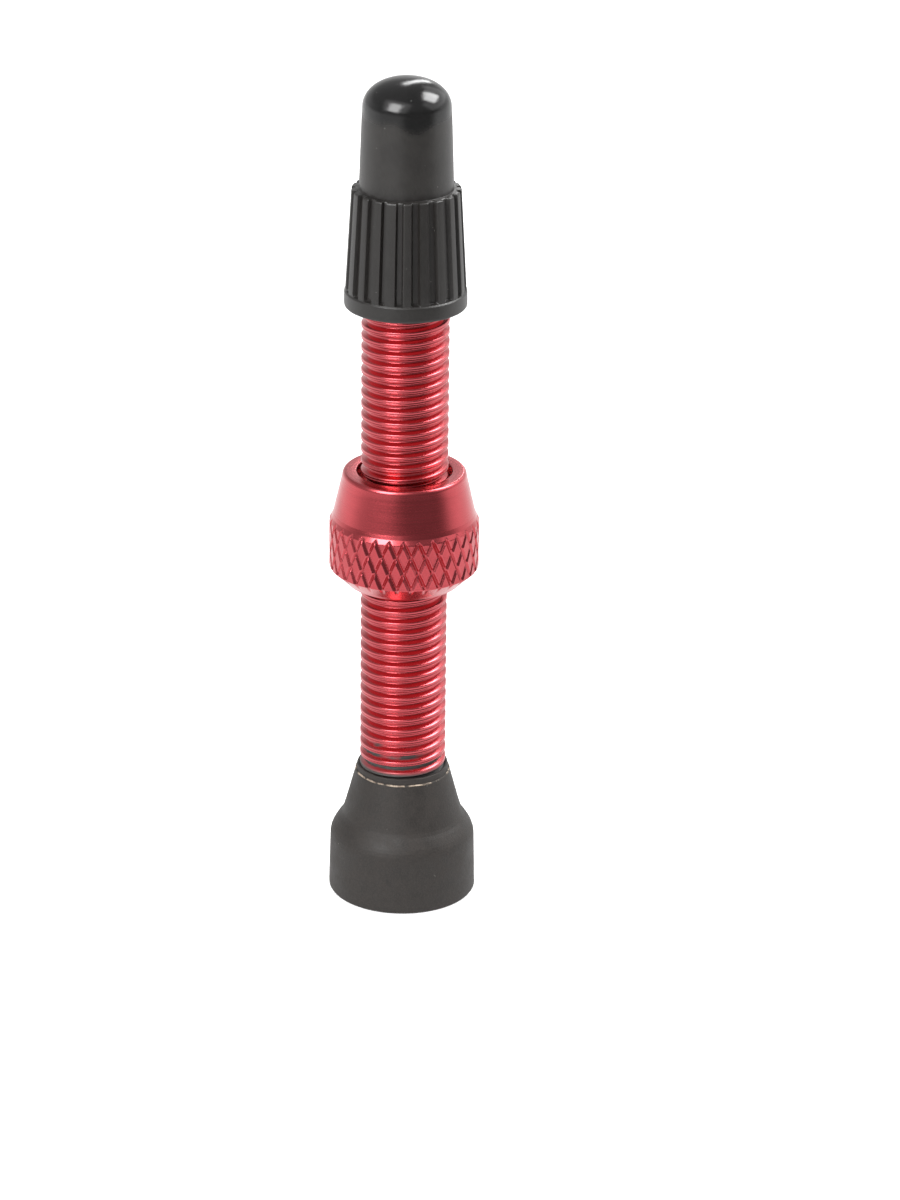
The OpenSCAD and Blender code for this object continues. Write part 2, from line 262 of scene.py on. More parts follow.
class Net:
    """Short names for building a node tree."""

    def __init__(self, nt):
        self.nt = nt

    def new(self, kind, **values):
        n = self.nt.nodes.new(kind)
        for k, v in values.items():
            setattr(n, k, v)
        return n

    def plug(self, socket, value):
        if isinstance(value, bpy.types.NodeSocket):
            self.nt.links.new(value, socket)
        else:
            socket.default_value = value

    def coords(self):
        if not hasattr(self, "_co"):
            self._co = self.new("ShaderNodeTexCoord").outputs["Object"]
        return self._co

    def xyz(self, v=None):
        n = self.new("ShaderNodeSeparateXYZ")
        self.plug(n.inputs[0], v or self.coords())
        return n.outputs

    def math(self, op, a, b=0.0, c=0.0, clamp=False):
        n = self.new("ShaderNodeMath", operation=op, use_clamp=clamp)
        self.plug(n.inputs[0], a)
        self.plug(n.inputs[1], b)
        if len(n.inputs) > 2:
            self.plug(n.inputs[2], c)
        return n.outputs[0]

    def combine(self, x, y, z):
        n = self.new("ShaderNodeCombineXYZ")
        for s, v in zip(n.inputs, (x, y, z)):
            self.plug(s, v)
        return n.outputs[0]

    def noise(self, scale, detail=3.0, rough=0.5, vector=None, distortion=0.0):
        n = self.new("ShaderNodeTexNoise")
        self.plug(n.inputs["Vector"], vector or self.coords())
        n.inputs["Scale"].default_value = scale
        n.inputs["Detail"].default_value = detail
        n.inputs["Roughness"].default_value = rough
        n.inputs["Distortion"].default_value = distortion
        return n.outputs["Fac"]

    def voronoi(self, scale, vector=None, randomness=1.0):
        n = self.new("ShaderNodeTexVoronoi")
        self.plug(n.inputs["Vector"], vector or self.coords())
        n.inputs["Scale"].default_value = scale
        n.inputs["Randomness"].default_value = randomness
        return n.outputs

    def span(self, value, a, b, to_a=0.0, to_b=1.0, smooth=True):
        n = self.new("ShaderNodeMapRange", interpolation_type="SMOOTHSTEP" if smooth else "LINEAR")
        self.plug(n.inputs["Value"], value)
        for k, v in (("From Min", a), ("From Max", b), ("To Min", to_a), ("To Max", to_b)):
            self.plug(n.inputs[k], v)
        return n.outputs[0]

    def mix(self, fac, a, b, kind="MIX"):
        n = self.new("ShaderNodeMix", data_type="RGBA", blend_type=kind)
        self.plug(n.inputs[0], fac)
        self.plug(n.inputs[6], a if isinstance(a, bpy.types.NodeSocket) else tuple(a) + (1,))
        self.plug(n.inputs[7], b if isinstance(b, bpy.types.NodeSocket) else tuple(b) + (1,))
        return n.outputs[2]

    def mixf(self, fac, a, b):
        n = self.new("ShaderNodeMix", data_type="FLOAT")
        self.plug(n.inputs[0], fac)
        self.plug(n.inputs[2], a)
        self.plug(n.inputs[3], b)
        return n.outputs[0]

    def bump(self, height, strength, distance, normal=None):
        n = self.new("ShaderNodeBump")
        n.inputs["Strength"].default_value = strength
        n.inputs["Distance"].default_value = distance
        self.plug(n.inputs["Height"], height)
        if normal is not None:
            self.plug(n.inputs["Normal"], normal)
        return n.outputs[0]


def rings_of(net, per_metre, detail=4.0, wobble=0.0):
    """Noise that changes only with height and radius, as tool marks on turned metal do."""
    x, y, z = net.xyz()
    r = net.math("SQRT", net.math("ADD", net.math("MULTIPLY", x, x), net.math("MULTIPLY", y, y)))
    flat = net.combine(net.math("MULTIPLY", x, wobble), net.math("MULTIPLY", y, wobble),
                       net.math("ADD", z, net.math("MULTIPLY", r, 1.7)))
    return net.noise(per_metre, detail, 0.6, vector=flat)


def red_anodised():
    m, nt, b = material("red_anodised")
    n = Net(nt)
    x, y, z = n.xyz()
    marks = rings_of(n, 9000, 2.0)
    grain = n.noise(16000, 2.0, 0.6)
    cloud = n.noise(450, 3.0, 0.5)
    tone = n.mix(n.span(cloud, 0.35, 0.65), (0.52, 0.062, 0.074), (0.58, 0.072, 0.086))
    tone = n.mix(n.math("MULTIPLY", n.span(marks, 0.3, 0.75), 0.15), tone, (0.42, 0.040, 0.05))
    edge = n.new("ShaderNodeAttribute", attribute_name="edge").outputs["Fac"]
    # from the 'edge' attribute: convex edges lighter with wear, and painted shade darkening the colour in the hollows
    worn = n.span(edge, 0.515, 0.56)
    hollow_shade = n.span(edge, 0.40, 0.492, 1.0, 0.0)
    tone = n.mix(n.math("MULTIPLY", worn, 0.3), tone, (0.68, 0.14, 0.165))
    tone = n.mix(n.math("MULTIPLY", hollow_shade, 0.45), tone, (0.22, 0.018, 0.026))
    n.plug(b.inputs["Base Color"], tone)
    b.inputs["Metallic"].default_value = 1.0
    n.plug(b.inputs["Roughness"], n.span(n.math("ADD", n.math("MULTIPLY", marks, 0.6),
                                                n.math("MULTIPLY", grain, 0.4)), 0.3, 0.7, 0.20, 0.30))
    h = n.math("ADD", n.math("MULTIPLY", marks, 0.5), n.math("MULTIPLY", grain, 0.35))
    n.plug(b.inputs["Normal"], n.bump(h, 0.12, 0.00001))
    b.inputs["Coat Weight"].default_value = 0.4
    b.inputs["Coat Roughness"].default_value = 0.2
    b.inputs["Coat IOR"].default_value = 1.6
    return m


def stem_red(base):
    """The same anodising, with grey rubber left in the lowest grooves by the moulding."""
    m = base.copy()
    m.name = "red_anodised_stem"
    nt = m.node_tree
    n = Net(nt)
    b = next(x for x in nt.nodes if x.type == "BSDF_PRINCIPLED")
    x, y, z = n.xyz()
    mm = n.math("MULTIPLY", z, 1000.0)
    r = n.math("MULTIPLY", n.math("SQRT", n.math("ADD", n.math("MULTIPLY", x, x), n.math("MULTIPLY", y, y))), 1000.0)
    patch = n.noise(420, 2.0, 0.55, distortion=0.6)
    top = RUBBER[1][2]
    low = n.span(n.math("SUBTRACT", mm, n.math("MULTIPLY", patch, 4.6)), top - 1.2, top - 0.2, 1.0, 0.0)
    groove = n.span(n.math("ADD", r, n.math("MULTIPLY", n.noise(2600, 3.0, 0.6), 0.24)), 2.74, 2.90, 1.0, 0.0)
    mask = n.math("MULTIPLY", low, n.math("MAXIMUM", groove, n.span(mm, top + 0.15, top + 0.5, 1.0, 0.0)), clamp=True)
    mask = n.math("MULTIPLY", mask, n.span(mm, 4.0, 5.0))      # the foot is bare
    for key, value in (("Base Color", (0.05, 0.046, 0.044)), ("Roughness", 0.75), ("Metallic", 0.0)):
        s = b.inputs[key]
        old = s.links[0].from_socket if s.links else s.default_value
        new = n.mix(mask, old, value) if key == "Base Color" else n.mixf(mask, old, value)
        n.plug(s, new)
    return m


def rubber(name, tone, rough, grain_scale, speck=0.0):
    m, nt, b = material(name)
    n = Net(nt)
    mottle = n.noise(900, 4.0, 0.62)
    fine = n.noise(9000, 3.0, 0.7)
    x, y, z = n.xyz()
    band = n.noise(600, 2.0, 0.5, vector=n.combine(0.0, 0.0, z))
    c = n.mix(n.span(mottle, 0.3, 0.7), [t * 0.72 for t in tone], [t * 1.22 for t in tone])
    c = n.mix(n.math("MULTIPLY", n.span(fine, 0.38, 0.66), 0.5), c, [t * 1.75 for t in tone])
    c = n.mix(n.math("MULTIPLY", n.span(band, 0.4, 0.6), 0.15), c, [t * 0.8 for t in tone])
    if speck:
        v = n.voronoi(2600)
        dots = n.math("MULTIPLY", n.span(v["Distance"], 0.0, 0.16, 1.0, 0.0),
                      n.span(n.noise(2100, 0.0), 0.70, 0.74))
        c = n.mix(n.math("MULTIPLY", dots, speck), c, (0.34, 0.32, 0.29))
    n.plug(b.inputs["Base Color"], c)
    n.plug(b.inputs["Roughness"], n.span(mottle, 0.3, 0.7, rough - 0.06, rough + 0.06))
    b.inputs["Specular IOR Level"].default_value = 0.45
    h = n.math("ADD", n.math("MULTIPLY", n.noise(grain_scale, 4.0, 0.65), 1.0), n.math("MULTIPLY", fine, 0.4))
    n.plug(b.inputs["Normal"], n.bump(h, 0.35, 0.00004))
    return m


def residue():
    m, nt, b = material("residue")
    n = Net(nt)
    c = n.mix(n.span(n.noise(2500, 3.0, 0.6), 0.35, 0.65), (0.22, 0.17, 0.13), (0.48, 0.39, 0.30))
    c = n.mix(n.span(n.noise(1300, 3.0, 0.7), 0.40, 0.56), (0.035, 0.030, 0.026), c)
    n.plug(b.inputs["Base Color"], c)
    b.inputs["Roughness"].default_value = 0.7
    n.plug(b.inputs["Normal"], n.bump(n.noise(7000, 3.0, 0.6), 0.5, 0.00004))
    return m


def cap_plastic():
    m, nt, b = material("cap_plastic")
    n = Net(nt)
    x, y, z = n.xyz()
    mm = n.math("MULTIPLY", z, 1000.0)
    mottle = n.noise(700, 3.0, 0.55)
    fine = n.noise(12000, 3.0, 0.7)
    # the gloss of the crown ends in an uneven line that sags on one side
    wave = n.math("MULTIPLY", n.math("SUBTRACT", n.noise(520, 3.0, 0.55), 0.5), 0.7)
    aside = n.math("MULTIPLY", n.math("SUBTRACT", n.math("MULTIPLY", x, 1000.0), 0.6), 0.62)
    sag = n.math("MULTIPLY", n.span(n.math("ABSOLUTE", aside), 0.0, 1.0, 0.60, 0.0), n.span(y, -0.0012, 0.0, 1.0, 0.0))
    gloss = n.span(n.math("ADD", n.math("ADD", mm, wave), sag), CAP[1][2] - 2.75, CAP[1][2] - 2.0)
    ribs = n.span(mm, CAP[1][2] - 7.3, CAP[1][2] - 6.9, 1.0, 0.0)
    tone = (0.0190, 0.0172, 0.0158)
    c = n.mix(n.span(mottle, 0.3, 0.7), [t * 0.85 for t in tone], [t * 1.15 for t in tone])
    c = n.mix(n.math("MULTIPLY", ribs, 0.55), c, (0.0125, 0.0112, 0.0102))
    c = n.mix(gloss, c, (0.006, 0.006, 0.006))
    v = n.voronoi(3300)
    dots = n.math("MULTIPLY", n.span(v["Distance"], 0.0, 0.13, 1.0, 0.0), n.span(n.noise(1900, 0.0), 0.70, 0.73))
    c = n.mix(n.math("MULTIPLY", dots, 0.6), c, (0.5, 0.5, 0.48))
    n.plug(b.inputs["Base Color"], c)
    satin = n.span(fine, 0.3, 0.7, 0.34, 0.44)
    n.plug(b.inputs["Roughness"], n.mixf(gloss, satin, n.span(mottle, 0.3, 0.7, 0.10, 0.16)))
    b.inputs["Specular IOR Level"].default_value = 0.55
    grain = n.bump(n.math("ADD", fine, n.math("MULTIPLY", n.noise(2800, 3.0, 0.6), 0.8)), 0.22, 0.00002)
    n.plug(b.inputs["Normal"], grain)
    return m


def bright_metal(name, tone, worn_tone, rough):
    m, nt, b = material(name)
    n = Net(nt)
    marks = rings_of(n, 8000, 3.0, 0.05)
    cloud = n.noise(900, 4.0, 0.6)
    edge = n.new("ShaderNodeAttribute", attribute_name="edge").outputs["Fac"]
    c = n.mix(n.span(cloud, 0.35, 0.65), tone, [t * 0.86 for t in tone])
    # convex edges lighter with wear; on the next line, painted shade darkens the colour in the hollows
    c = n.mix(n.math("MULTIPLY", n.span(edge, 0.51, 0.55), 0.4), c, worn_tone)
    c = n.mix(n.math("MULTIPLY", n.span(edge, 0.42, 0.49, 1.0, 0.0), 0.5), c, [t * 0.4 for t in tone])
    n.plug(b.inputs["Base Color"], c)
    b.inputs["Metallic"].default_value = 1.0
    n.plug(b.inputs["Roughness"], n.span(n.math("ADD", n.math("MULTIPLY", marks, 0.6),
                                                n.math("MULTIPLY", cloud, 0.4)), 0.3, 0.7, rough - 0.05, rough + 0.09))
    n.plug(b.inputs["Normal"], n.bump(marks, 0.2, 0.00002))
    return m


def white_plastic():
    m, nt, b = material("gasket_plastic")
    n = Net(nt)
    c = n.mix(n.span(n.noise(1200, 3.0, 0.6), 0.3, 0.7), (0.72, 0.72, 0.68), (0.80, 0.80, 0.77))
    n.plug(b.inputs["Base Color"], c)
    b.inputs["Roughness"].default_value = 0.42
    b.inputs["Subsurface Weight"].default_value = 0.1
    b.inputs["Subsurface Scale"].default_value = 0.0005
    n.plug(b.inputs["Normal"], n.bump(n.noise(9000, 2.0, 0.6), 0.2, 0.00002))
    return m


RED = red_anodised()
RED_STEM = stem_red(RED)
BASE_RUBBER = rubber("base_rubber", (0.0195, 0.0160, 0.0138), 0.58, 5200, speck=0.6)
SEAL_RUBBER = rubber("seal_rubber", (0.020, 0.020, 0.020), 0.5, 8000)
RESIDUE = residue()
CAP_PLASTIC = cap_plastic()
NICKEL = bright_metal("nickel_plated", (0.66, 0.64, 0.59), (0.80, 0.74, 0.60), 0.26)
BRASS = bright_metal("pin_brass", (0.72, 0.55, 0.29), (0.85, 0.72, 0.46), 0.28)
WHITE = white_plastic()


# ---- valve stem -----------------------------------------------------------

CREST = 0.215                            # height of a crest at angle 0, modulo the pitch
# rolled crest: broad, rounded at both edges, with the fine seam rolling leaves in its middle
SHAPE = [(z / P_STEM, r) for z, r in ((0, 2.935), (0.028, 2.94), (0.055, 2.957), (0.095, 2.96), (0.13, 2.95),
                                      (0.16, 2.92), (0.275, 2.625), (0.30, 2.59), (0.33, 2.572), (0.40, 2.57))]
SHAPE += [(1 - x, r) for x, r in SHAPE[-2::-1]]


def make_stem():
    top, foot = STEM[1][2], STEM[0][2]
    zb, zt = RUBBER[1][2] - 0.45, top - 0.001
    n = 104
    s = Shell()
    # inside of the foot, foot, shank inside the rubber
    s.lathe(n, rounded([(1.2, foot + 1.9), (1.2, foot, 0.06), (3.9, foot, 0.16), (3.9, foot + 1.4, 0.16),
                        (2.6, foot + 1.4, 0.1), (2.6, 4.4), (3.05, 4.7), (3.05, 5.3), (2.6, 5.6),
                        (2.6, zb, 0)]))

    def limit(t, z, r):
        start = 2.6 + (z - zb) * 1.6
        end = 2.96 - np.maximum(0, z - (zt - 0.34)) * 0.95
        return np.minimum(np.minimum(r, end), np.maximum(start, 2.55))

    P = helix(n, SHAPE, P_STEM, zb, zt, CREST, limit)
    s.sheet(polar(n, np.stack([np.full(n + 1, 2.6), np.hypot(P[0, :, 0], P[0, :, 1])]), np.full((2, n + 1), zb)))
    s.sheet(P)
    ring_r = np.hypot(P[-1, :, 0], P[-1, :, 1])
    rim = np.stack([ring_r, np.full(n + 1, 2.56), np.full(n + 1, 2.34)])
    zz = np.stack([np.full(n + 1, zt), np.full(n + 1, top), np.full(n + 1, top)])
    s.sheet(polar(n, rim, zz))
    s.lathe(n, [(2.34, top), (2.18, top - 0.12)])
    # thread the core screws into: grooves cut outwards from the bore
    inner = [(0.0, 2.18), (0.3, 2.18), (0.46, 2.32), (0.58, 2.32), (0.74, 2.18), (1.0, 2.18)]

    def fade(t, z, r):
        run = np.clip((z - 42.9) / 0.5, 0, 1) * np.clip((top - 0.12 - z) / 0.2, 0, 1)
        return 2.18 + (r - 2.18) * run

    s.sheet(helix(n, inner, P_CORE, 42.0, top - 0.12, 0.2, fade, inside=True))
    s.lathe(n, rounded([(2.18, 42.0), (1.78, 41.2, 0.05), (1.75, 40.8), (1.75, foot + 2.4, 0.1), (1.2, foot + 1.9)]))
    o = s.build("valve_stem_body", [RED_STEM], 42)
    # cross slots in the foot, seen through the opening in the rubber
    for k in (0, 1):
        c = Shell()
        w, h = 0.5, foot + 0.6 + 0.03 * k
        prof = rounded([(-w, foot - 1), (-w, h, 0.12), (w, h, 0.12), (w, foot - 1)], steps=4)
        P = np.stack([np.stack([np.full(len(prof), x), prof[:, 0], prof[:, 1]], -1) for x in (-3.0, 3.0)])
        c.sheet(P)
        half = len(prof) // 2
        c.sheet(np.stack([P[0][:half], P[0][::-1][:half]]))
        c.sheet(np.stack([P[1][::-1][:half], P[1][:half]]))
        c.sheet(np.stack([P[:, 0], P[:, -1]])[::-1])
        cut = c.build(f"cut{k}", [RED_STEM], 40)
        if k:
            cut.data.transform(Matrix.Rotation(math.pi / 2, 4, "Z"))
        import bmesh
        bm = bmesh.new()
        bm.from_mesh(cut.data)
        bmesh.ops.recalc_face_normals(bm, faces=bm.faces)
        bm.to_mesh(cut.data)
        bm.free()
        mod = o.modifiers.new("cut", "BOOLEAN")
        mod.operation, mod.solver, mod.object = "DIFFERENCE", "EXACT", cut
        dg = bpy.context.evaluated_depsgraph_get()
        mesh = bpy.data.meshes.new_from_object(o.evaluated_get(dg))
        o.modifiers.clear()
        o.data = mesh
        bpy.data.objects.remove(cut)
    o.data.name = "valve_stem_body"
    o.data.set_sharp_from_angle(angle=math.radians(42))
    mark_edges(o.data)
    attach(o, "stem")
    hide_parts("valve_stem")
    return o


# ---- rubber base ----------------------------------------------------------

def ripple(n, amounts, seed):
    """A closed wavy line round the axis: sum of a few sines with the given amplitudes per wave count."""
    g = np.random.default_rng(seed)
    t, _, _ = turn(n)
    out = np.zeros(n + 1)
    for waves, amp in amounts:
        out += amp * np.sin(waves * t + g.uniform(0, TAU))
    out[-1] = out[0]
    return out


def make_rubber():
    n = 192
    top = RUBBER[1][2]
    R = RUBBER[1][0]
    out = rounded([(2.6, 0.8), (2.6, 0.0, 0.1), (R - 0.09, 0.0, 0.14), (R, 0.13, 0.14), (R - 0.085, 3.95, 0.3),
                   (4.965, 4.24, 0.3), (4.884, 4.48, 0.3), (4.768, 4.71, 0.3), (4.626, 4.94, 0.3), (4.474, 5.17, 0.3),
                   (4.292, 5.41, 0.3), (4.165, 5.64, 0.3), (4.085, 5.87, 0.3), (3.90, 6.49, 0.5),
                   (3.27, 8.84, 0.03), (3.19, 8.93, 0.03), (3.13, top, 0.07), (2.985, top, 0.04)], steps=4)
    out = refine(out, 0.16)
    Rg = np.repeat(out[:, :1], n + 1, 1)
    Zg = np.repeat(out[:, 1:2], n + 1, 1)
    # moulded surface: very slight waviness, a shade stronger on the lip
    for k in range(len(out)):
        z = out[k, 1]
        if z > 0.3 and out[k, 0] > 2.99:
            lip = max(0.0, (z - 8.7) / 0.65)
            Rg[k] += ripple(n, [(3, 0.006), (7, 0.004), (13, 0.003)], 5) * (0.6 + 1.4 * lip)
    lift = ripple(n, [(2, 0.018), (5, 0.014), (11, 0.010), (23, 0.006)], 9)
    w = np.clip((Zg - 8.95) / 0.3, 0, 1)
    Zg += lift[None, :] * w
    s = Shell()
    s.sheet(polar(n, Rg, Zg))
    edge_r, edge_z = Rg[-1], Zg[-1]
    # inner wall, clear of the stem by a hair, down to the foot and out to the opening
    inner = rounded([(2.985, top - 0.1), (2.985, top - 0.42), (2.625, top - 0.52), (2.625, 5.62),
                     (3.075, 5.32), (3.075, 4.68), (2.625, 4.38), (2.625, 2.225), (3.925, 2.225, 0.14),
                     (3.925, 0.8 + 0.0, 0.0), (2.6, 0.8)], r=0.03)
    s.sheet(polar(n, np.stack([edge_r, np.full(n + 1, 2.985)]), np.stack([edge_z, np.full(n + 1, top - 0.1)])))
    s.lathe(n, inner)
    o = s.build("rubber_base_body", [BASE_RUBBER], 40, "stem", "rubber_base")
    # thin uneven line of pale residue round the neck, under its upright collar
    t, _, _ = turn(n)
    fat = np.clip(0.55 + ripple(n, [(3, 0.5), (5, 0.45), (9, 0.4), (17, 0.35)], 21), 0.05, 1.6)
    r0, z0 = 3.245, 8.905 + lift * 0.6
    rows_r = np.stack([r0 - 0.08 + 0 * t, r0 - 0.02 + 0.004 * fat, r0 + 0.012 + 0.012 * fat, r0 + 0.03 + 0.006 * fat,
                       r0 - 0.04 + 0 * t])
    rows_z = np.stack([z0 + 0.035, z0 + 0.03 + 0.012 * fat, z0 + 0.012 + 0.012 * fat, z0 - 0.03 - 0.014 * fat,
                       z0 - 0.07])
    q = Shell()
    q.sheet(polar(n, rows_r[[4, 3, 2, 1, 0, 4]], rows_z[[4, 3, 2, 1, 0, 4]]))
    q.build("rubber_lip_residue", [RESIDUE], 60, "stem", None)
    return o


# ---- lock ring ------------------------------------------------------------

def make_ring():
    z0, z1 = RING[0][2], RING[1][2]
    R = RING[1][0]
    N, per = 32, 22
    n = N * per
    crossing = z0 + 4.62                 # height of the upper row of crossings
    theta0 = math.radians(-90 + 0.55)
    slope = 0.431                        # groove shift, in spacings per millimetre of height
    t, _, _ = turn(n)
    zk0, zk1, zc = z0 + 1.08, z0 + 4.34, z0 + 5.0
    # outer profile: chamfer, knurled band, bevel, cone, rounded top edge
    arch = [(3.98 + 0.24 * math.sin(a), z1 - 0.36 + 0.36 * math.cos(a)) for a in np.radians(np.linspace(88, 0, 9))]
    prof = rounded([(R - 1.12, z0 + 0.03, 0.04), (R - 0.02, zk0, 0.03), (R, zk0 + 0.05, 0.03), (R, zk1, 0.03),
                    (4.90, zk1 + 0.36, 0.2), (4.80, zc, 0.3)] + [(r, z, 0) for r, z in arch], steps=5)
    prof = np.vstack([[R - 1.14, z0], prof])
    fine = []
    for a, b in zip(prof[:-1], prof[1:]):
        step = 0.058 if zk0 - 0.25 < (a[1] + b[1]) / 2 < zc else 0.4
        k = max(1, int(math.ceil(np.linalg.norm(b - a) / step)))
        fine += [a + (b - a) * i / k for i in range(k)]
    fine.append(prof[-1])
    fine = np.array(fine)
    Z = np.repeat(fine[:, 1:2], n + 1, 1)
    E = np.repeat(fine[:, :1], n + 1, 1)
    # Rolled grooves with a narrow flat floor. Those that fall to the right are deeper, with a long wall on
    # their lower side; above the upper row of crossings only the place where both hands meet is cut.
    deep = 0.9 + 0.2 * np.random.default_rng(3).random((2, N))
    cuts, rims = [], []
    for h, (sgn, floor, up, down, depth) in enumerate(((1, 0.03, 0.14, 0.22, 0.17), (-1, 0.025, 0.125, 0.15, 0.13))):
        u = N * (t[None, :] - theta0) / TAU + sgn * slope * (Z - crossing)
        d = u - np.round(u)
        k = np.round(u).astype(int) % N
        wall = np.where(d * sgn > 0, up, down) if sgn > 0 else np.where(d > 0, down, up)
        g = np.clip((wall - np.abs(d)) / (wall - floor), 0, 1)
        cuts.append(depth * deep[h][k] * g ** 0.85)
        rims.append(np.clip(1 - np.abs(np.abs(d) - wall - 0.03) / 0.05, 0, 1))
    over = Z > crossing - 0.02
    cut = np.where(over, np.minimum(cuts[0], cuts[1]), np.maximum(cuts[0], cuts[1]))
    # flats a hair below the burrs along the grooves
    cut = np.maximum(cut, 0.016 * (1 - np.maximum(rims[0], rims[1])))
    low = np.clip((zk0 + 0.02 - Z) / 0.2, 0, 1)
    cut *= np.sqrt(np.clip(1 - low ** 2, 0, 1))
    Rg = np.where(Z < zk0, np.minimum(E, R - cut + (cut <= 0) * 1.0), np.minimum(E, R - cut))
    s = Shell()
    s.sheet(polar(n, Rg, Z))
    # top face, countersink
    q = 208
    s.stitch(polar(n, column([3.98]), column([z1]))[0], polar(q, column([3.90]), column([z1]))[0])
    s.lathe(q, rounded([(3.90, z1, 0), (3.26, z1, 0.05), (3.14, z1 - 0.75, 0.05), (3.03, z1 - 0.90)], steps=3))
    # internal thread, in step with the stem's
    crest = CREST + P_STEM / 2
    shape = vee(2.63, 3.02, 0.10, 0.20, P_STEM, 0.03)

    def limit(tt, z, r):
        a = 3.02 - np.clip(((z1 - 0.95) - z) / 0.5, 0, 1) * 0.5
        b = 3.02 - np.clip((z - (z0 + 0.84)) / 0.5, 0, 1) * 0.5
        return np.maximum(r, np.maximum(a, b))

    m = 104
    zb, zt = z0 + 0.84, z1 - 0.95
    P = helix(m, shape, P_STEM, zb, zt, crest, limit, inside=True)
    s.stitch(polar(q, column([3.03]), column([z1 - 0.90]))[0], P[0])
    s.sheet(P)
    s.stitch(P[-1], polar(q, column([3.04]), column([zb - 0.03]))[0])
    s.lathe(q, rounded([(3.04, zb - 0.03), (3.16, z0 + 0.69, 0.03), (3.77, z0 + 0.69, 0.06), (3.77, z0, 0.05),
                        (R - 1.16, z0)], steps=3))
    s.stitch(polar(q, column([R - 1.16]), column([z0]))[0], polar(n, column([R - 1.14]), column([z0]))[0])
    return s.build("lock_ring_body", [RED], 30, "ring", "lock_ring")


# ---- O-ring, gasket, seal -------------------------------------------------

def make_oring():
    z0, z1 = ORING[0][2], ORING[1][2]
    c, h = (z0 + z1) / 2, (z1 - z0) / 2
    n = 160
    a = np.linspace(0, TAU, 33)
    r = 3.37 + 0.35 * np.cos(a)
    z = c + h * np.sin(a)
    r[-1], z[-1] = r[0], z[0]
    Rg = np.repeat(column(r), n + 1, 1)
    # flash line left by the mould, inside and outside
    Rg += (np.exp(-(np.sin(a) / 0.06) ** 2)[:, None] * 0.006 * np.sign(np.cos(a))[:, None])
    Rg[-1] = Rg[0]
    s = Shell()
    s.sheet(polar(n, Rg, column(z)))
    return s.build("rim_o_ring_body", [SEAL_RUBBER], 60, "o_ring", "rim_o_ring")


def make_gasket():
    z0, z1 = GASKET[0][2], GASKET[1][2]
    s = Shell()
    p = rounded([(1.56, (z0 + z1) / 2), (1.56, z0, 0.03), (1.70, z0, 0.05), (2.09, z0 + 0.76, 0.12),
                 (2.09, z1, 0.06), (1.56, z1, 0.03), (1.56, (z0 + z1) / 2)], steps=3)
    s.lathe(96, p)
    return s.build("core_gasket_body", [WHITE], 40, "gasket", "core_gasket")


def make_seal():
    z0, z1 = SEAL[0][2], SEAL[1][2]
    s = Shell()
    p = rounded([(0.56, (z0 + z1) / 2), (0.56, z0), (1.3, z0, 0.1), (1.44, z0 + 0.16, 0.1), (1.44, z1 - 0.29, 0.1),
                 (1.12, z1 - 0.01, 0.05), (0.56, z1 - 0.01), (0.56, (z0 + z1) / 2)], steps=3)
    s.lathe(96, p)
    return s.build("pin_seal_body", [SEAL_RUBBER], 40, "pin", "pin_seal")


# ---- valve core -----------------------------------------------------------

def make_core():
    zb, zt = CORE[0][2], CORE[1][2]
    top = STEM[1][2]
    n = 144
    s = Shell()
    s.lathe(n, rounded([(1.25, zb + 0.4), (1.4, zb, 0.03), (1.44, zb, 0.03), (1.5, zb + 0.12, 0.05), (1.5, 40.6, 0.05),
                        (1.65, 40.7, 0.05), (1.65, 41.05, 0.05), (1.5, 41.15, 0.05), (1.5, 42.4, 0.03),
                        (1.84, 42.4, 0.03), (1.9, 42.46)], steps=3))
    shape = vee(2.1, 1.86, 0.14, 0.08, P_CORE, 0.02)
    a0, a1 = 42.46, top - 0.1

    def lim1(t, z, r):
        return np.minimum(r, np.minimum(1.9 + (z - a0) * 0.9, 2.0 + np.maximum(0, (a1 - z)) * 0.7))

    P = helix(n, shape, P_CORE, a0, a1, 0.2, lim1)
    s.sheet(polar(n, np.stack([np.full(n + 1, 1.9), np.hypot(P[0, :, 0], P[0, :, 1])]), np.full((2, n + 1), a0)))
    s.sheet(P)
    r_top = np.hypot(P[-1, :, 0], P[-1, :, 1])
    b0, b1 = top + 0.03, zt - 0.001
    s.sheet(polar(n, np.stack([r_top, np.full(n + 1, 1.98)]), np.stack([np.full(n + 1, a1), np.full(n + 1, b0)])))
    hshape = vee(2.6, 2.17, 0.26, 0.16, 1.0583, 0.05)
    t, _, _ = turn(n)
    flat = 2.2 / np.maximum(np.abs(np.sin(t)), 0.2)

    def lim2(tt, z, r):
        lo = 2.42 + (z - b0) * 1.2
        hi = 2.38 + np.maximum(0, b1 - z) * 0.9
        return np.minimum(np.minimum(r, np.minimum(lo, hi)), flat[None, :])

    P = helix(n, hshape, 1.0583, b0, b1, b0 + 0.45, lim2)
    r_lo, r_hi = np.hypot(P[0, :, 0], P[0, :, 1]), np.hypot(P[-1, :, 0], P[-1, :, 1])
    s.sheet(polar(n, np.stack([np.full(n + 1, 1.98), r_lo]), np.stack([np.full(n + 1, b0)] * 2)))
    s.sheet(P)
    s.sheet(polar(n, np.stack([r_hi, np.minimum(r_hi - 0.03, 2.2 - 0.05), np.full(n + 1, 1.2)]),
                  np.stack([np.full(n + 1, b1), np.full(n + 1, zt), np.full(n + 1, zt)])))
    s.lathe(n, rounded([(1.2, zt, 0), (1.08, zt - 0.1, 0.02), (1.08, zt - 1.4), (1.25, zt - 1.6), (1.25, zb + 0.4)],
                       steps=2))
    return s.build("core_body_metal", [NICKEL], 35, "core", "core_body")


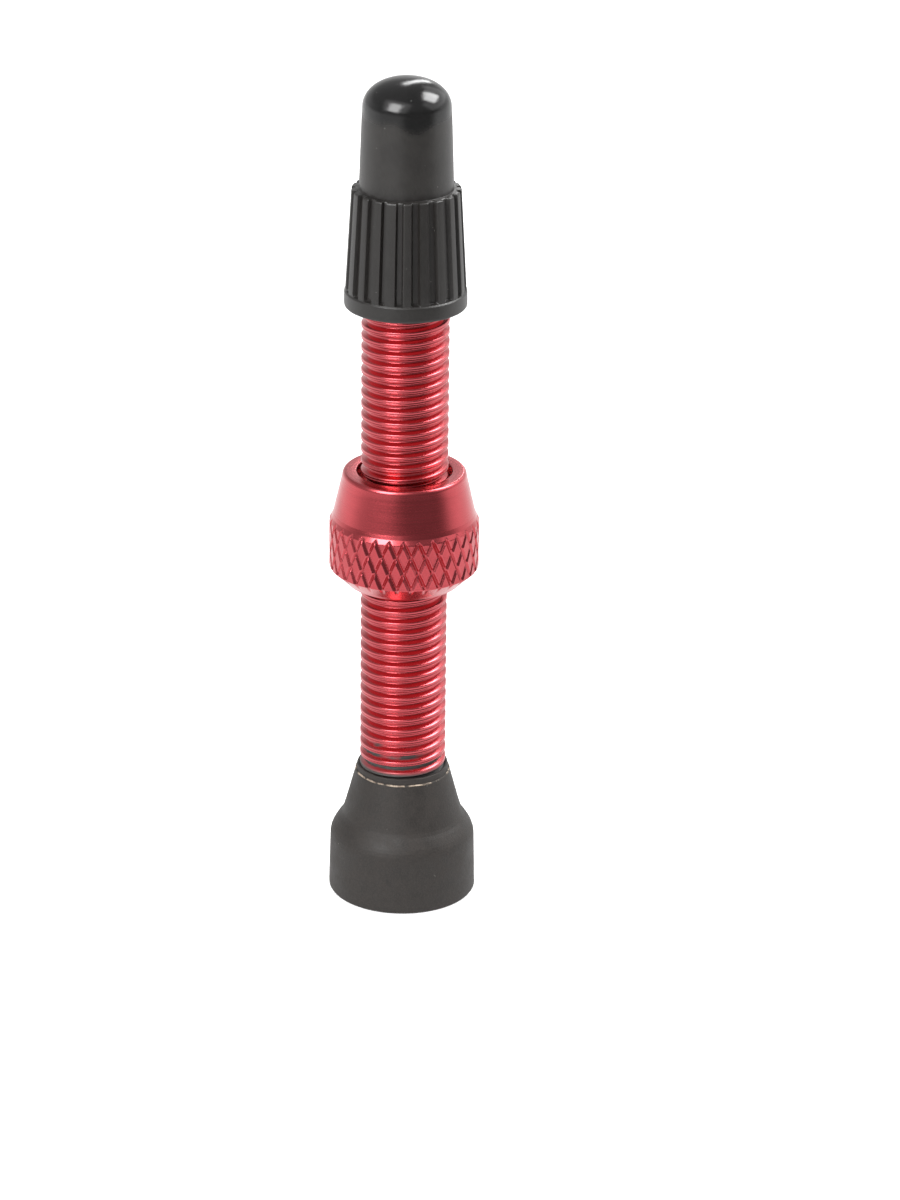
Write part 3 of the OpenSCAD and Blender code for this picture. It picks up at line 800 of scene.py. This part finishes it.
def make_pin():
    zb, zt = PIN[0][2], PIN[1][2]
    n = 96
    thread0, thread1 = 49.0, zt - 0.50
    s = Shell()
    s.lathe(n, rounded([(0.0, zb), (0.8, zb, 0.05), (0.95, zb + 0.15, 0.05), (0.95, zb + 0.44, 0.03),
                        (0.54, zb + 0.44, 0.0), (0.54, 37.72), (0.75, 37.86, 0.05), (0.75, thread0 - 0.26, 0.05),
                        (0.84, thread0 - 0.05), (0.84, thread0)], steps=3))
    shape = vee(1.0, 0.8, 0.10, 0.06, P_PIN, 0.018)

    def lim(t, z, r):
        r = np.minimum(r, np.minimum(0.84 + (z - thread0) * 1.2, 0.86 + (thread1 - z) * 1.2))
        side = np.clip(1 - np.abs((z - 50.85) / 2.15) ** 12, 0, 1)
        flat = 0.7 / np.maximum(np.abs(np.cos(t)), 0.3)
        return np.where(side > 0.01, np.minimum(r, flat + (1 - side) * 0.4), r)

    P = helix(n, shape, P_PIN, thread0, thread1, 0.1, lim)
    s.sheet(polar(n, np.stack([np.full(n + 1, 0.84), np.hypot(P[0, :, 0], P[0, :, 1])]),
                  np.stack([np.full(n + 1, thread0)] * 2)))
    s.sheet(P)
    s.sheet(polar(n, np.stack([np.hypot(P[-1, :, 0], P[-1, :, 1]), np.full(n + 1, 0.86)]),
                  np.stack([np.full(n + 1, thread1)] * 2)))
    # end of the plunger, spread so that the nut can't come off
    s.lathe(n, rounded([(0.86, thread1), (1.05, thread1 + 0.04, 0.03), (1.06, thread1 + 0.2, 0.06),
                        (0.82, zt - 0.09, 0.08), (0.5, zt - 0.02, 0.1), (0.32, zt - 0.015, 0.05), (0.2, zt - 0.07, 0.04),
                        (0.0, zt - 0.09)], steps=4))
    return s.build("core_pin_metal", [BRASS], 35, "pin", "core_pin")


def make_nut():
    zb, zt = NUT[0][2], NUT[1][2]
    N, per = 16, 24
    n = N * per
    prof = rounded([(1.2, zb, 0.0), (1.45, zb, 0.06), (1.6, zb + 0.35, 0.08), (2.0, zb + 0.55, 0.06),
                    (2.0, zt - 0.28, 0.08), (1.74, zt, 0.06), (1.2, zt, 0.0)], steps=4)
    prof = refine(prof, 0.07)
    t, _, _ = turn(n)
    Z = np.repeat(prof[:, 1:2], n + 1, 1)
    E = np.repeat(prof[:, :1], n + 1, 1)
    u = N * t / TAU
    d = np.abs(u - np.floor(u) - 0.5)
    groove = np.clip(1 - d / 0.2, 0, 1)
    run = np.sqrt(np.clip(1 - np.clip((zb + 0.75 - Z) / 0.3, 0, 1) ** 2, 0, 1))
    Rg = np.minimum(E, 2.0 - 0.19 * groove[None, :] * run + np.where(groove[None, :] > 0, 0, 1))
    s = Shell()
    s.sheet(polar(n, Rg, Z))
    m = 96
    s.lathe(n, [(1.2, zt), (1.08, zt - 0.1)])
    inner = [(0.0, 1.06), (0.28, 1.06), (0.45, 1.17), (0.58, 1.17), (0.75, 1.06), (1.0, 1.06)]

    def fade(tt, z, r):
        run = np.clip((z - zb - 0.12) / 0.15, 0, 1) * np.clip((zt - 0.12 - z) / 0.15, 0, 1)
        return 1.06 + (r - 1.06) * run

    P = helix(m, inner, P_PIN, zb + 0.12, zt - 0.12, 0.1, fade, inside=True)
    s.stitch(polar(n, column([1.08]), column([zt - 0.1]))[0], P[0])
    s.sheet(P)
    s.stitch(P[-1], polar(n, column([1.08]), column([zb + 0.1]))[0])
    s.lathe(n, [(1.08, zb + 0.1), (1.2, zb)])
    return s.build("thumb_nut_body", [NICKEL], 35, "nut", "thumb_nut")


# ---- dust cap -------------------------------------------------------------

def make_cap():
    zb, zt = CAP[0][2], CAP[1][2]
    N, per = 21, 24
    n = N * per
    t, _, _ = turn(n)
    base = zb + 1.1
    rib = zb + 8.05
    # rib centres: an even spacing with small irregularities of the mould
    even = np.radians(-90 + 2.0 + 360 / N * np.arange(N))
    off = RNG.uniform(-0.6, 0.6, N)
    for k, v in {-4: 1.6, -3: 2.4, -2: 2.6, -1: 0.2, 0: 0.0, 1: 0.2, 2: 1.5, 3: 2.4, 4: 1.2}.items():
        off[k % N] = v
    centre = even + np.radians(off)
    land = np.radians(4.4 + RNG.uniform(-0.6, 0.9, N))
    order = np.argsort(centre % TAU)
    cs, ls = (centre % TAU)[order], land[order]
    cs = np.concatenate([[cs[-1] - TAU], cs, [cs[0] + TAU]])
    ls = np.concatenate([[ls[-1]], ls, [ls[0]]])
    # flute: 0 on a land, 1 on the floor between two lands
    flute = np.zeros(n + 1)
    for i, a in enumerate(t):
        k = np.searchsorted(cs, a) - 1
        lo, hi = cs[k] + ls[k], cs[k + 1] - ls[k + 1]
        if lo < a < hi:
            x = (a - lo) / (hi - lo)
            e = min(x, 1 - x) * 2
            flute[i] = min(1.0, e / 0.30) if e < 0.30 else 1.0
    flute[-1] = flute[0]

    rows_r, rows_z = [], []

    def row(r, z):
        rows_r.append(np.broadcast_to(r, n + 1).astype(float).copy())
        rows_z.append(np.full(n + 1, float(z)))

    lip = rounded([(3.1, zb, 0), (3.2, zb, 0.03), (CAP[1][0] - 0.02, zb, 0.1), (CAP[1][0], zb + 0.16, 0.1),
                   (CAP[1][0] - 0.01, base - 0.1, 0.06), (CAP[1][0] - 0.1, base, 0.03)], steps=4)
    for r, z in lip:
        row(r, z)

    def ribbed(z, extra=0.0):
        k = (z - base) / (rib - base)
        outer = 4.04 + (3.64 - 4.04) * k - extra
        return outer, flute * 0.27

    for z, ease in ((base + 0.001, 0.12), (base + 0.06, 0.75), (base + 0.12, 1.0)):
        o, f = ribbed(z)
        row(np.minimum(CAP[1][0] - 0.1, o) - f * ease, z)
    for z in np.linspace(base + 0.3, rib - 0.24, 22):
        o, f = ribbed(z)
        row(o - f, z)
    for dz, drop in ((-0.16, 0.0), (-0.10, 0.008), (-0.05, 0.03), (-0.02, 0.06), (0.0, 0.12)):
        o, f = ribbed(rib + dz, drop)
        row(np.maximum(o - f, 3.17), rib + dz)
    o, f = ribbed(rib, 0.12)
    row(np.full(n + 1, 3.165), rib + 0.012)
    row(np.full(n + 1, 3.14), rib + 0.03)
    for z in np.linspace(rib + 0.1, zt - 2.0, 12):
        row(3.14 + (2.95 - 3.14) * (z - rib) / (zt - 2.0 - rib), z)
    for a in np.linspace(0, 90, 17)[1:]:
        c, q = math.cos(math.radians(a)) ** 0.93, math.sin(math.radians(a)) ** 0.93
        row(2.95 * c, zt - 2.0 + 2.0 * q)
    s = Shell()
    s.sheet(polar(n, np.array(rows_r), np.array(rows_z)))
    # inside: crown, smooth chamber, shallow thread, mouth
    m = 126
    core_top = CORE[1][2]
    s.lathe(m, rounded([(0.0, zt - 1.1), (1.6, zt - 1.2, 0.4), (2.3, zt - 1.9, 0.4), (2.3, core_top + 0.6, 0.1),
                        (2.66, core_top + 0.3, 0.05), (2.66, core_top + 0.2)], steps=4))
    inner = [(0.0, 2.66), (0.25, 2.66), (0.42, 2.80), (0.6, 2.80), (0.78, 2.66), (1.0, 2.66)]
    za, zc = STEM[1][2] + 0.68, core_top + 0.2

    def fade(tt, z, r):
        run = np.clip((z - za) / 0.3, 0, 1) * np.clip((zc - z) / 0.3, 0, 1)
        return 2.66 + (r - 2.66) * run

    s.sheet(helix(m, inner, 1.0583, za, zc, 0.3, fade, inside=True))
    s.lathe(m, rounded([(2.66, za), (2.66, za - 0.03), (3.06, STEM[1][2] + 0.35, 0.05), (3.06, zb + 0.2, 0.03)], steps=3))
    s.stitch(polar(m, column([3.06]), column([zb + 0.2]))[0], polar(n, column([3.07]), column([zb + 0.05]))[0])
    s.lathe(n, [(3.07, zb + 0.05), (3.1, zb)])
    return s.build("dust_cap_body", [CAP_PLASTIC], 38, "cap", "dust_cap")


make_stem()
make_rubber()
make_ring()
make_oring()
make_gasket()
make_seal()
make_core()
make_pin()
make_nut()
make_cap()


# ---- stage, light, camera -------------------------------------------------

def make_stage():
    mesh = bpy.data.meshes.new("floor")
    w = 6.0
    drop = -0.02 * MM
    mesh.from_pydata([(-w, -w, drop), (w, -w, drop), (w, w, drop), (-w, w, drop)], [], [(0, 1, 2, 3)])
    floor = bpy.data.objects.new("floor", mesh)
    bpy.context.scene.collection.objects.link(floor)
    m, nt, b = material("floor_white")
    n = Net(nt)
    b.inputs["Base Color"].default_value = (0.90, 0.90, 0.90, 1)
    b.inputs["Roughness"].default_value = 0.9
    b.inputs["Specular IOR Level"].default_value = 0.0
    b.inputs["Emission Color"].default_value = (1, 1, 1, 1)
    path = n.new("ShaderNodeLightPath").outputs
    n.plug(b.inputs["Emission Strength"], n.math("MULTIPLY", path["Is Camera Ray"], 0.42))
    # As metal and gloss see it, the pale sweep is evenly lit near the object and falls off into the dim
    # room in front and to the right of it.
    x, y, z = n.xyz()
    away = n.math("SQRT", n.math("ADD", n.math("MULTIPLY", x, x), n.math("MULTIPLY", y, y)))
    bearing = n.math("DEGREES", n.math("ARCTAN2", x, n.math("MULTIPLY", y, -1.0)))
    sector = n.math("MULTIPLY", n.span(bearing, -22.0, 2.0), n.span(bearing, 58.0, 88.0, 1.0, 0.0))
    dim = n.math("MULTIPLY", sector, n.span(away, 0.075, 0.110))
    left = n.math("MULTIPLY", n.span(bearing, -100.0, -60.0), n.span(bearing, -22.0, 2.0, 1.0, 0.0))
    dim = n.math("ADD", n.math("MULTIPLY", dim, 0.80),
                 n.math("MULTIPLY", n.math("MULTIPLY", left, n.span(away, 0.062, 0.105)), 0.30))
    glow = n.new("ShaderNodeEmission")
    n.plug(glow.inputs["Strength"], n.math("MULTIPLY", n.math("SUBTRACT", 1.0, dim), 1.22))
    both = n.new("ShaderNodeMixShader")
    nt.links.new(path["Is Glossy Ray"], both.inputs[0])
    nt.links.new(b.outputs[0], both.inputs[1])
    nt.links.new(glow.outputs[0], both.inputs[2])
    # nothing is hidden from a viewer under the floor
    below = n.new("ShaderNodeMixShader")
    nt.links.new(n.new("ShaderNodeNewGeometry").outputs["Backfacing"], below.inputs[0])
    nt.links.new(both.outputs[0], below.inputs[1])
    nt.links.new(n.new("ShaderNodeBsdfTransparent").outputs[0], below.inputs[2])
    nt.links.new(below.outputs[0], next(x for x in nt.nodes if x.type == "OUTPUT_MATERIAL").inputs[0])
    mesh.materials.append(m)


def softbox(name, az, el, dist, w, h, power, target=(0, 0, 0.03), spread=180, tilt=0):
    """An area light. az from the camera's side round towards +X, el above the floor, in degrees."""
    a, e = math.radians(az), math.radians(el)
    d = Vector((math.sin(a) * math.cos(e), -math.cos(a) * math.cos(e), math.sin(e)))
    L = bpy.data.lights.new(name, "AREA")
    L.shape, L.size, L.size_y, L.energy = "RECTANGLE", w, h, power
    L.spread = math.radians(spread)
    o = bpy.data.objects.new(name, L)
    bpy.context.scene.collection.objects.link(o)
    o.location = Vector(target) + d * dist
    turned = (-d).to_track_quat("-Z", "Y").to_matrix() @ Matrix.Rotation(math.radians(tilt), 3, "Z")
    o.rotation_euler = turned.to_euler()
    return o


def make_light():
    w = bpy.data.worlds.new("studio")
    bpy.context.scene.world = w
    w.use_nodes = True
    nt = w.node_tree
    nt.nodes.clear()
    n = Net(nt)
    out = n.new("ShaderNodeOutputWorld")
    seen = n.new("ShaderNodeBackground")
    seen.inputs[0].default_value = (1, 1, 1, 1)
    seen.inputs[1].default_value = 1.0
    lit = n.new("ShaderNodeBackground")
    co = n.new("ShaderNodeTexCoord").outputs["Generated"]
    x, y, z = n.xyz(co)
    # a pale room, by bearing from the camera's side: dim behind the camera, brighter to the left, bright
    # at both sides and at the back near the floor, middling overhead
    bearing = n.math("DEGREES", n.math("ARCTAN2", x, n.math("MULTIPLY", y, -1.0)))
    left = n.math("MULTIPLY", bearing, -1.0)
    low = n.math("ADD", 0.19, n.math("MULTIPLY", n.span(left, 8.0, 30.0), 0.17))
    low = n.math("ADD", low, n.math("MULTIPLY", n.span(left, 70.0, 125.0), 0.45))
    low = n.math("ADD", low, n.math("MULTIPLY", n.span(bearing, 70.0, 104.0), 0.72))
    high = n.math("ADD", 0.33, n.math("MULTIPLY", n.span(left, -60.0, 60.0), 0.08))
    level = n.mixf(n.span(z, 0.20, 0.48), low, high)
    n.plug(lit.inputs[0], n.combine(level, level, level))
    lit.inputs[1].default_value = 1.0
    mix = n.new("ShaderNodeMixShader")
    nt.links.new(n.new("ShaderNodeLightPath").outputs["Is Camera Ray"], mix.inputs[0])
    nt.links.new(lit.outputs[0], mix.inputs[1])
    nt.links.new(seen.outputs[0], mix.inputs[2])
    nt.links.new(mix.outputs[0], out.inputs[0])
    softbox("box_right", 108, 50, 0.5, 0.27, 0.25, 2.3)
    softbox("box_left", -36, 36, 0.5, 0.25, 0.31, 2.0)
    softbox("strip_back", 175, 33, 0.6, 0.34, 0.05, 0.45, tilt=66)
    # the diffusers round the two main boxes
    softbox("halo_left", -33, 40, 0.56, 0.66, 0.50, 0.95)
    softbox("halo_right", 107, 38, 0.56, 0.92, 0.44, 1.1)


def make_camera():
    cam = bpy.data.cameras.new("camera")
    cam.lens, cam.sensor_width, cam.sensor_fit = 129.0, 36.0, "AUTO"
    cam.clip_start, cam.clip_end = 0.001, 20
    o = bpy.data.objects.new("camera", cam)
    bpy.context.scene.collection.objects.link(o)
    roll, c, s = -0.0113977017, 0.92119, 0.38912
    fwd, r0, u0 = Vector((0, c, -s)), Vector((1, 0, 0)), Vector((0, s, c))
    right = math.cos(roll) * r0 - math.sin(roll) * u0
    up = math.sin(roll) * r0 + math.cos(roll) * u0
    m = Matrix((right, up, -fwd)).transposed().to_4x4()
    m.translation = Vector((0.0031616, -0.27051, 0.13576))
    o.matrix_world = m
    bpy.context.scene.camera = o


make_stage()
make_light()
make_camera()
bpy.context.scene.view_settings.view_transform = "Standard"
bpy.context.view_layer.update()
